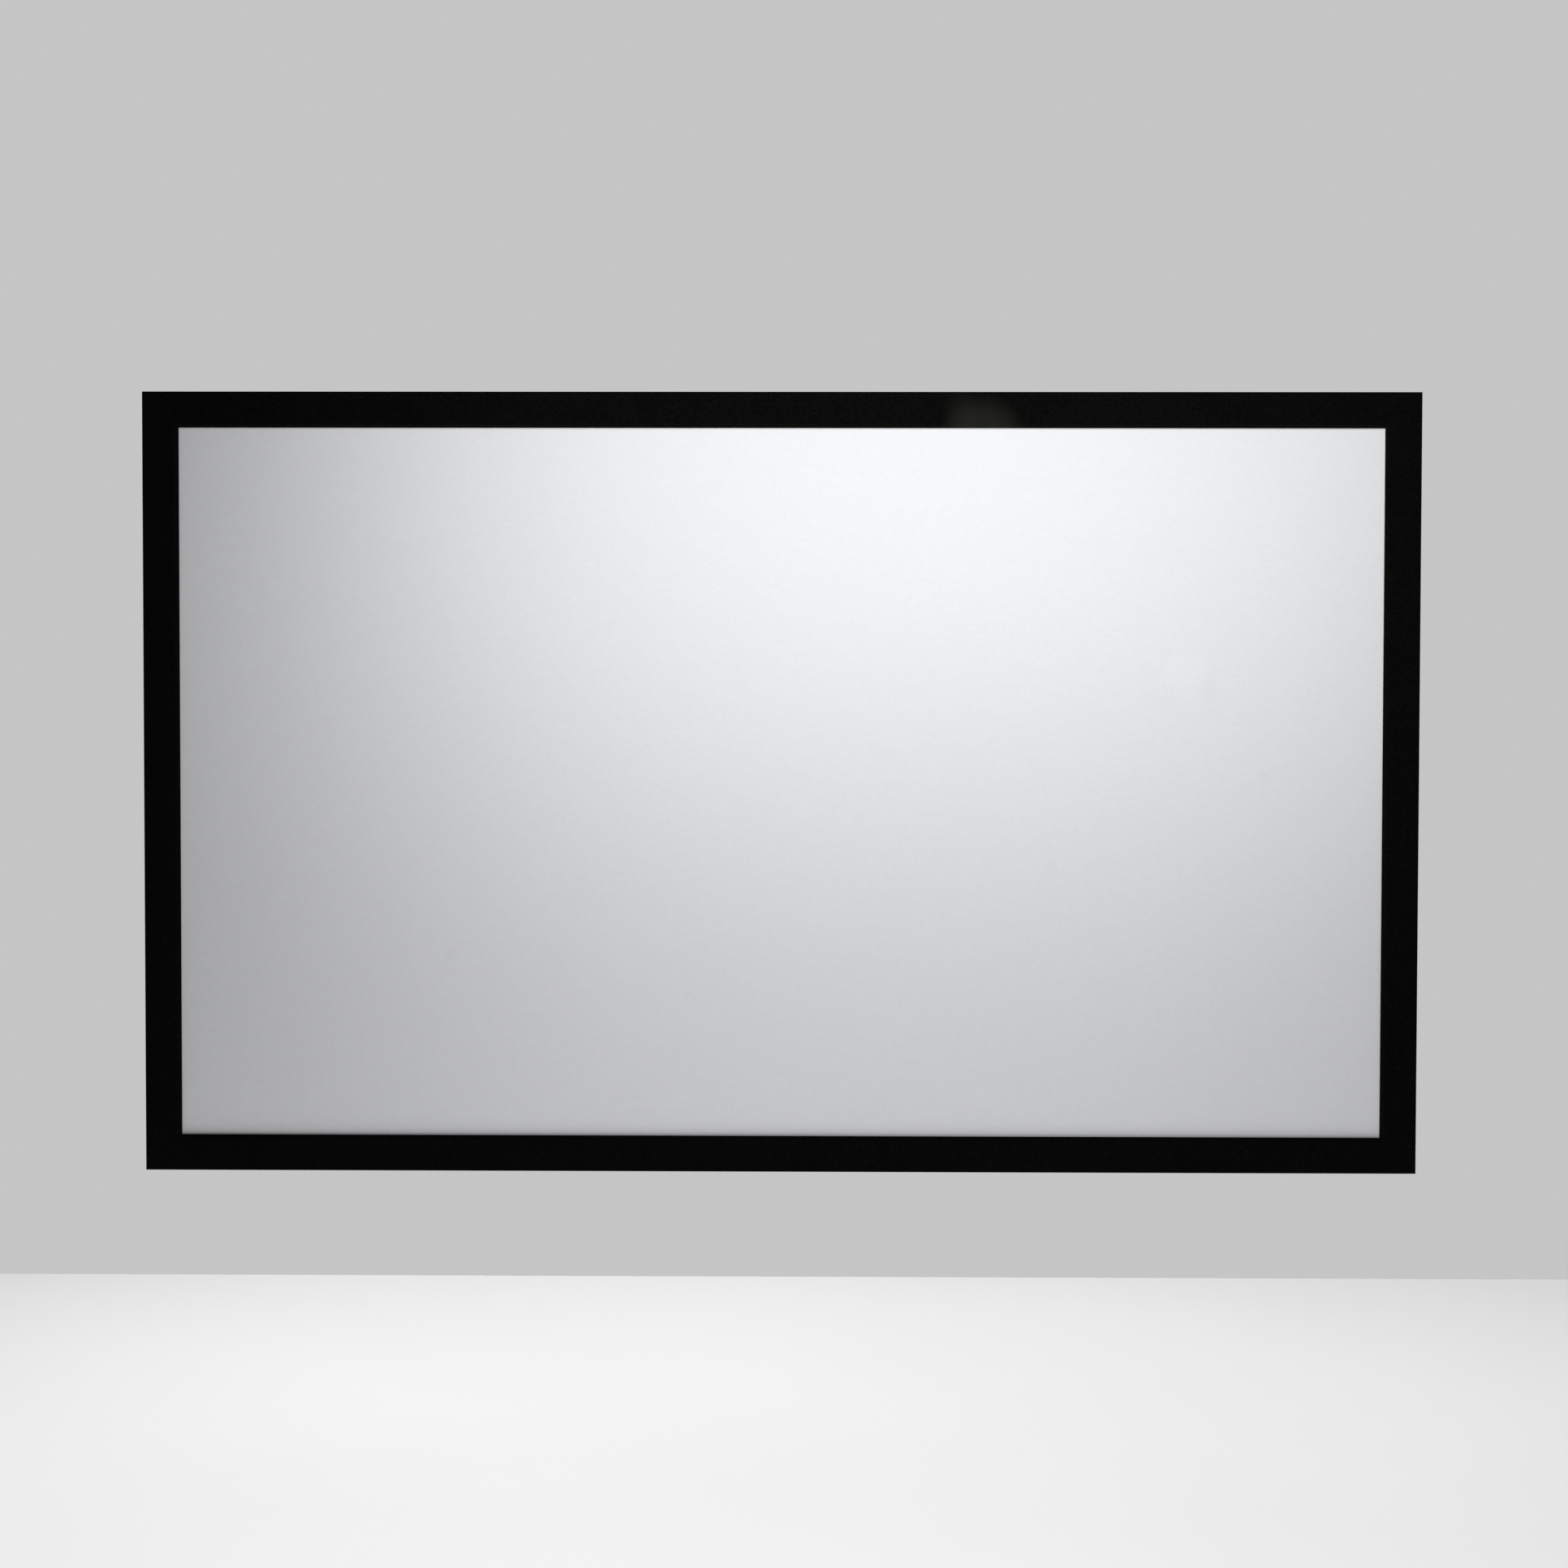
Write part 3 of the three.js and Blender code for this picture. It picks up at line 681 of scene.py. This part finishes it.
# %% [markdown]
# ## The springs
# Each spring is one wire: a hook round the rod, a close coil, a straight leg and a hook into the groove of
# the rail. A torus for each turn would leave a stack of rings, so the wire's whole path is worked out
# first and a round profile is swept along it. Fifty-two springs are the same shape in evenly spaced rows,
# which is what Geometry Nodes are for: the tree takes one path, sweeps it, and sets copies in a row.


# %% The class for Geometry Nodes trees
class Shape(Tree):
    """A Geometry Nodes tree with named inputs, which ends in real faces with a material."""

    KINDS = {float: "NodeSocketFloat", int: "NodeSocketInt", bpy.types.Material: "NodeSocketMaterial"}

    def __init__(self, name, **inputs):
        super().__init__(bpy.data.node_groups.new(name, "GeometryNodeTree"))
        interface = self.tree.interface
        interface.new_socket("Geometry", in_out="INPUT", socket_type="NodeSocketGeometry")
        interface.new_socket("Geometry", in_out="OUTPUT", socket_type="NodeSocketGeometry")
        self.identifiers = {}
        for word, value in inputs.items():
            socket = interface.new_socket(word, in_out="INPUT", socket_type=self.KINDS[type(value)])
            socket.default_value = value
            self.identifiers[word] = socket.identifier
        self.start = self.tree.nodes.new("NodeGroupInput")

    def __getitem__(self, word):
        return Signal(self, self.start.outputs[word])

    def end(self, geometry):
        real = self.node("GeometryNodeRealizeInstances", None, {0: geometry})
        values = {"Geometry": real, "Material": self["Material"]}
        painted = self.node("GeometryNodeSetMaterial", None, values)
        self.feed(self.tree.nodes.new("NodeGroupOutput").inputs[0], painted)
        return self

    def grow(self, mesh, **inputs):
        """A plain mesh of what the tree makes from this one, with some inputs changed."""
        helper = shown("helper", mesh)
        modifier = helper.modifiers.new("grow", "NODES")
        modifier.node_group = self.tree
        for word, value in inputs.items():
            modifier[self.identifiers[word]] = value
        return plain_mesh(helper)


def points_mesh(points, joined=False):
    """A mesh of loose points, or of one line through them."""
    mesh = bpy.data.meshes.new("points")
    edges = [(i, i + 1) for i in range(len(points) - 1)] if joined else []
    mesh.from_pydata([tuple(p) for p in points], edges, [])
    return mesh


# %% The path of one spring
WIRE_RADIUS = 0.5 * MM
AXIS_BACK = 14.3 * MM
COIL_RADIUS = 2.3 * MM
COIL_START = 13.7 * MM
COIL_END = 26.7 * MM
COIL_TURNS = 12
COIL_STEPS = 12
COIL_OPENS = COIL_STEPS / 3
HOOK_TURN = (205, 90)
GROOVE_OUT = 33.8 * MM
BEND_RADIUS = 1.4 * MM
TIP = ((33.8 * MM, 10.6 * MM), (33.4 * MM, 9.8 * MM), (32.5 * MM, 9.6 * MM))


def ease(t):
    """A soft step from 0 to 1."""
    t = min(max(t, 0.0), 1.0)
    return t * t * (3 - 2 * t)


def spring_path():
    """The middle of the wire in a side's own frame, from the rod to the groove."""
    hook = arc(ROD_CENTRE, AXIS_BACK - ROD_CENTRE.y, *HOOK_TURN, steps=12)
    path = [Vector((p.x, p.y, 0)) for p in hook]
    total = COIL_TURNS * COIL_STEPS
    for i in range(total + 1):
        turn = 2 * math.pi * i / COIL_STEPS
        radius = COIL_RADIUS * ease(i / COIL_OPENS) * ease((total - i) / COIL_OPENS)
        out = COIL_START + (COIL_END - COIL_START) * i / total
        path.append(Vector((out, AXIS_BACK + radius * math.cos(turn), radius * math.sin(turn))))
    bend = arc(Vector((GROOVE_OUT - BEND_RADIUS, AXIS_BACK - BEND_RADIUS)), BEND_RADIUS, 90, 0, steps=4)
    path += [Vector((p.x, p.y, 0)) for p in bend]
    return path + [Vector((out, back, 0)) for out, back in TIP]


def spring_row():
    """One wire path becomes a row of springs. The tree's Z is the direction of the row."""
    sizes = {"First": 0.0, "Pitch": SPRING_PITCH, "Count": 8, "Wire": WIRE_RADIUS}
    row = Shape("spring_row", Material=wire_finish, **sizes)
    ring = row.node("GeometryNodeCurvePrimitiveCircle", None, {"Resolution": 6, "Radius": row["Wire"]})
    path = row.node("GeometryNodeMeshToCurve", None, {"Mesh": row["Geometry"]})
    values = {"Curve": path, "Profile Curve": ring, "Fill Caps": True}
    spring = row.node("GeometryNodeCurveToMesh", None, values)
    first = row.node("ShaderNodeCombineXYZ", None, {"Z": row["First"]})
    step = row.node("ShaderNodeCombineXYZ", None, {"Z": row["Pitch"]})
    values = {"Count": row["Count"], "Start Location": first, "Offset": step}
    places = row.node("GeometryNodeMeshLine", {"mode": "OFFSET"}, values)
    copies = row.node("GeometryNodeInstanceOnPoints", None, {"Points": places, "Instance": spring})
    return row.end(copies)


one_path = spring_path()
length = sum((b - a).length for a, b in zip(one_path, one_path[1:]))
print("wire in one spring:", round(length, 3), "m in", len(one_path), "points")

# %% Rows of springs
springs = spring_row()
made = 0
for place, (side, way) in RODS.items():
    spots = [s for s in spring_places(side) if s * way >= 0]
    pitch = spots[1] - spots[0]
    mesh = springs.grow(points_mesh(one_path, True), First=spots[0], Pitch=pitch, Count=len(spots))
    mesh.transform(side_place(side))
    for face in mesh.polygons:
        face.use_smooth = True
    finished_piece(f"{place}_springs", mesh, [wire_finish], [f"{place}_sprung_rod"])
    made += len(spots)
print("springs:", made, "with", len(mesh.polygons) // len(spots), "faces each")

# %% [markdown]
# ## The plates that join the frame
# A plate slides in the slotted channel across each joint, and set screws push it against the lips of the
# slot. A plate is flat with round holes, and a filled curve draws just that: one outline, one ring for
# each hole, then a thickness and a rounded edge. The outline's corners come from the box of the solid, so
# the plate fills the channel as it should.

# %% Corner plates and splice plates
PLATE_LEG = 19.4 * MM
PRESSED_EDGE = 0.35 * MM
HOLE_RADIUS = 2.65 * MM


def flat_plate(name, outline, holes, node):
    """A plate as thick as its solid, from (x, z) points and hole centres."""
    low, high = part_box(node)
    thick = high.y - low.y
    curve = bpy.data.curves.new(name, "CURVE")
    curve.dimensions = "2D"
    curve.fill_mode = "BOTH"
    curve.extrude = thick / 2 - PRESSED_EDGE
    curve.bevel_depth = PRESSED_EDGE
    curve.bevel_resolution = 1
    curve.offset = -PRESSED_EDGE
    for loop in [outline] + [circle(hole, HOLE_RADIUS, 24) for hole in holes]:
        spline = curve.splines.new("POLY")
        spline.points.add(len(loop) - 1)
        spline.use_cyclic_u = True
        for point, place in zip(spline.points, loop):
            point.co = (place.x, place.y, 0, 1)
    mesh = plain_mesh(shown(name, curve))
    upright = Matrix.Rotation(math.radians(90), 4, "X")
    mesh.transform(Matrix.Translation((0, (low.y + high.y) / 2, 0)) @ upright)
    work = bmesh.new()
    work.from_mesh(mesh)
    bmesh.ops.remove_doubles(work, verts=work.verts, dist=SAME_PLACE)
    bmesh.ops.recalc_face_normals(work, faces=work.faces)
    work.to_mesh(mesh)
    work.free()
    mesh.set_sharp_from_angle(angle=math.radians(30))
    return finished_piece(name, mesh, [zinc_finish], [node])


def middle(node):
    """The middle of a solid's box."""
    low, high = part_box(node)
    return (low + high) / 2


for corner in CORNERS:
    node = f"corner_plate_{corner}"
    low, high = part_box(node)
    way_x = 1 if middle(node).x > 0 else -1
    way_z = 1 if middle(node).z > 0 else -1
    wide, tall = high.x - low.x, high.z - low.z
    tip = Vector((max(abs(low.x), abs(high.x)), max(abs(low.z), abs(high.z))))
    ell = [(0, 0), (wide, 0), (wide, PLATE_LEG), (PLATE_LEG, PLATE_LEG), (PLATE_LEG, tall), (0, tall)]
    outline = [Vector((way_x * (tip.x - x), way_z * (tip.y - z))) for x, z in ell]
    holes = [middle(f"corner_screw_{corner}_{i}").xz for i in range(1, 5)]
    flat_plate(f"{corner}_corner_plate", outline, holes, node)

for edge in ("top", "bottom"):
    node = f"splice_plate_{edge}"
    low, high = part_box(node)
    outline = [Vector(p) for p in ((low.x, low.z), (high.x, low.z), (high.x, high.z), (low.x, high.z))]
    holes = [middle(f"splice_screw_{edge}_{i}").xz for i in range(1, 5)]
    plate = flat_plate(f"{edge}_splice_plate", outline, holes, node)
print("a splice plate has", len(plate.data.polygons), "faces")

# %% [markdown]
# ## The set screws
# A set screw is a threaded stub with a hexagon socket. The thread is a rule, not a drawing: the surface of
# a cylinder moves in and out with height minus turn, so a Geometry Nodes tree can displace a plain
# cylinder by that rule, cut the socket, and put a copy at each place with a turn of its own, because no
# two screws stop at the same angle.

# %% Threaded screws with sockets
SCREW = {"Radius": 2.5 * MM, "Length": 5.1 * MM}
THREAD = {"Pitch": 0.8 * MM, "Depth": 0.4 * MM}
SOCKET_CORNER = 1.44 * MM
SOCKET_DEPTH = 2 * MM
LEAD_IN = 0.6 * MM
TURNS_ABOVE_ZERO = 100


def set_screws():
    """A tree that puts a threaded screw with a hexagon socket at each point."""
    tree = Shape("set_screws", Socket=SOCKET_CORNER, Seed=0, Material=oxide_finish, **SCREW, **THREAD)
    values = {"Vertices": 24, "Side Segments": 26, "Radius": tree["Radius"], "Depth": tree["Length"]}
    stub = tree.node("GeometryNodeMeshCylinder", None, values)
    x, y, z = tree.axes(tree.node("GeometryNodeInputPosition"))
    turn = y.call("ARCTAN2", x) / (2 * math.pi)
    wave = (z / tree["Pitch"] - turn + TURNS_ABOVE_ZERO).call("FRACT") * 2 - 1
    off_end = tree["Length"] / 2 - z.call("ABSOLUTE")
    end = off_end.smooth(LEAD_IN, 0.0)
    inwards = wave.call("ABSOLUTE") * tree["Depth"] * (1 - end) + tree["Depth"] * end
    share = -1 * inwards / tree["Radius"]
    offset = tree.node("ShaderNodeCombineXYZ", None, {"X": x * share, "Y": y * share})
    threaded = tree.node("GeometryNodeSetPosition", None, {"Geometry": stub, "Offset": offset})
    values = {"Vertices": 6, "Radius": tree["Socket"], "Depth": 2 * SOCKET_DEPTH}
    key = tree.node("GeometryNodeMeshCylinder", None, values)
    lift = tree.node("ShaderNodeCombineXYZ", None, {"Z": tree["Length"] / 2})
    key = tree.node("GeometryNodeTransform", None, {"Geometry": key, "Translation": lift})
    cut = {"operation": "DIFFERENCE", "solver": "EXACT"}
    screw = tree.node("GeometryNodeMeshBoolean", cut, {"Mesh 1": threaded, "Mesh 2": key})
    settings = {"data_type": "FLOAT"}
    angle = tree.node("FunctionNodeRandomValue", settings, {2: 0.0, 3: math.pi, "Seed": tree["Seed"]}, 1)
    tilt = tree.node("ShaderNodeCombineXYZ", None, {"X": -math.pi / 2, "Z": 0.0})
    upright = tree.node("GeometryNodeTransform", None, {"Geometry": screw, "Rotation": tilt})
    spin = tree.node("ShaderNodeCombineXYZ", None, {"Y": angle})
    values = {"Points": tree["Geometry"], "Instance": upright, "Rotation": spin}
    return tree.end(tree.node("GeometryNodeInstanceOnPoints", None, values))


screws = set_screws()
joints = [f"corner_screw_{corner}" for corner in CORNERS] + ["splice_screw_top", "splice_screw_bottom"]
for seed, joint in enumerate(joints):
    nodes = [f"{joint}_{i}" for i in range(1, 5)]
    low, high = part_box(nodes[0])
    spots = points_mesh([middle(node) for node in nodes])
    mesh = screws.grow(spots, Length=high.y - low.y, Seed=seed)
    mesh.set_sharp_from_angle(angle=math.radians(50))
    finished_piece(f"{joint}s", mesh, [oxide_finish], nodes)
print("a set of four screws has", len(mesh.polygons), "faces")

# %% [markdown]
# ## The bar, its shoes and the wall hooks
# The bar across the middle stops the long rails from bowing inwards under the pull of the springs. It is a
# plain rectangular tube held by two moulded shoes. The hooks are bent steel plates: their tongues reach
# into the slot of the rails. The solids already have these shapes, so only their edges are softened, by
# as much as each process leaves: most on the drawn tube, least on the bent plate.

# %% Bar, shoes and hooks
TUBE_EDGE = 0.6 * MM
MOULDED_EDGE = 0.4 * MM
BENT_EDGE = 0.25 * MM

softened("centre_bar", "middle_bar", TUBE_EDGE, aluminium["z"], segments=3)
for edge in ("top", "bottom"):
    softened(f"{edge}_bar_shoe", f"{edge}_moulded_shoe", MOULDED_EDGE, plastic_finish)
    for side in ("left", "right"):
        name = f"{edge}_{side}_hook"
        hook = softened(f"{edge}_{side}_wall_hook", name, BENT_EDGE, coat_finish)
print("a hook has", len(hook.data.polygons), "faces")

left_over = [name for name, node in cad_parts.items() if not node.hide_render]
print("solids still shown:", left_over)

# %% [markdown]
# ## Floor, light and camera
# The screen hangs on a wall that isn't part of it, so the stage is a pale floor well below it and a plain
# grey room. A large soft light stands close in front of the upper half, a little to the right, which gives
# the film its slow fall from bright at the top right to grey at the bottom left. A second one lies near
# the floor and shines up: the border keeps it off the lowest centimetre of the film, which is the soft dark
# band above the bottom rail. A wide one washes the floor, so that it stays pale, and two more behind show
# the hardware in the views from behind. The camera stands 3.7 m off, a little above the middle.

# %% Floor and room
FLOOR_LEVEL = -1.56
FLOOR_FRONT = -3.4
FLOOR_BACK = 2.8
FLOOR_SIDE = 3.3
FLOOR_SHADES = (0.80, 0.80, 0.79), (0.86, 0.86, 0.86)


def pale_floor():
    floor = Finish("pale_floor", Roughness=0.7, Specular_IOR_Level=0.3)
    speckle = floor.noise(6 * MM, detail=4.0)
    patches = floor.noise(0.9, detail=3.0)
    floor.set("Base Color", floor.blend(speckle * 0.3 + patches * 0.7, *FLOOR_SHADES))
    floor.bump(speckle, 0.2 * MM, 0.3)
    return floor.material


floor_mesh = bpy.data.meshes.new("floor")
front = [(-FLOOR_SIDE, FLOOR_FRONT), (FLOOR_SIDE, FLOOR_FRONT)]
corners = front + [(FLOOR_SIDE, FLOOR_BACK), (-FLOOR_SIDE, FLOOR_BACK)]
floor_mesh.from_pydata([(x, y, FLOOR_LEVEL) for x, y in corners], [], [(0, 1, 2, 3)])
floor_mesh.materials.append(pale_floor())
shown("floor", floor_mesh)

ROOM_LIGHT = (0.043, 0.043, 0.044)
ROOM_SEEN = (0.56, 0.56, 0.56)
room = bpy.data.worlds.new("grey_room")
room.use_nodes = True
bpy.context.scene.world = room
sky = Tree(room.node_tree)
seen = sky.node("ShaderNodeLightPath")
background = room.node_tree.nodes["Background"]
sky.feed(background.inputs["Color"], sky.blend(seen, ROOM_LIGHT, ROOM_SEEN))
print("floor at", FLOOR_LEVEL)


# %% Lights
def soft_light(name, place, target, size, power):
    """An area lamp at a place, turned to a target, with its width and height in metres and its watts."""
    light = bpy.data.lights.new(name, "AREA")
    light.shape = "RECTANGLE"
    light.size, light.size_y = size
    light.energy = power
    lamp = shown(name, light)
    lamp.visible_camera = False
    lamp.location = place
    lamp.rotation_euler = (Vector(target) - Vector(place)).to_track_quat("-Z", "Y").to_euler()


soft_light("front_light", (0.287, -0.85, 0.609), (0.334, 0, 0.41), (1.92, 1.2), 13.3)
soft_light("low_light", (0.05, -0.8, -1.45), (0.05, -0.8, 0), (2.4, 1.0), 8.8)
soft_light("floor_light", (0, -0.3, -1.0), (0, -0.3, -2), (8.0, 8.0), 80)
soft_light("back_light", (-1.6, 2.6, 1.8), (0, 0, 0), (2.0, 1.6), 34)
soft_light("ceiling_light", (0, 1.8, 2.4), (0, 1.8, 0), (6.0, 2.0), 110)
print("lights:", len(bpy.data.lights))

# %% Camera
CAMERA_PLACE = (0.035, -3.7, 0.091)
CAMERA_YAW, CAMERA_PITCH, CAMERA_ROLL = (math.radians(a) for a in (-0.444, -1.436, 0.10))
LENS = 49.72
camera_data = bpy.data.cameras.new("camera")
camera_data.sensor_width = 36
camera_data.lens = LENS
camera = shown("camera", camera_data)
yaw = Matrix.Rotation(-CAMERA_YAW, 4, "Z")
pitch = Matrix.Rotation(math.radians(90) + CAMERA_PITCH, 4, "X")
roll = Matrix.Rotation(CAMERA_ROLL, 4, "Z")
camera.matrix_world = Matrix.Translation(CAMERA_PLACE) @ yaw @ pitch @ roll
bpy.context.scene.camera = camera
bpy.context.scene.view_settings.view_transform = "Standard"
print("camera at", CAMERA_PLACE)
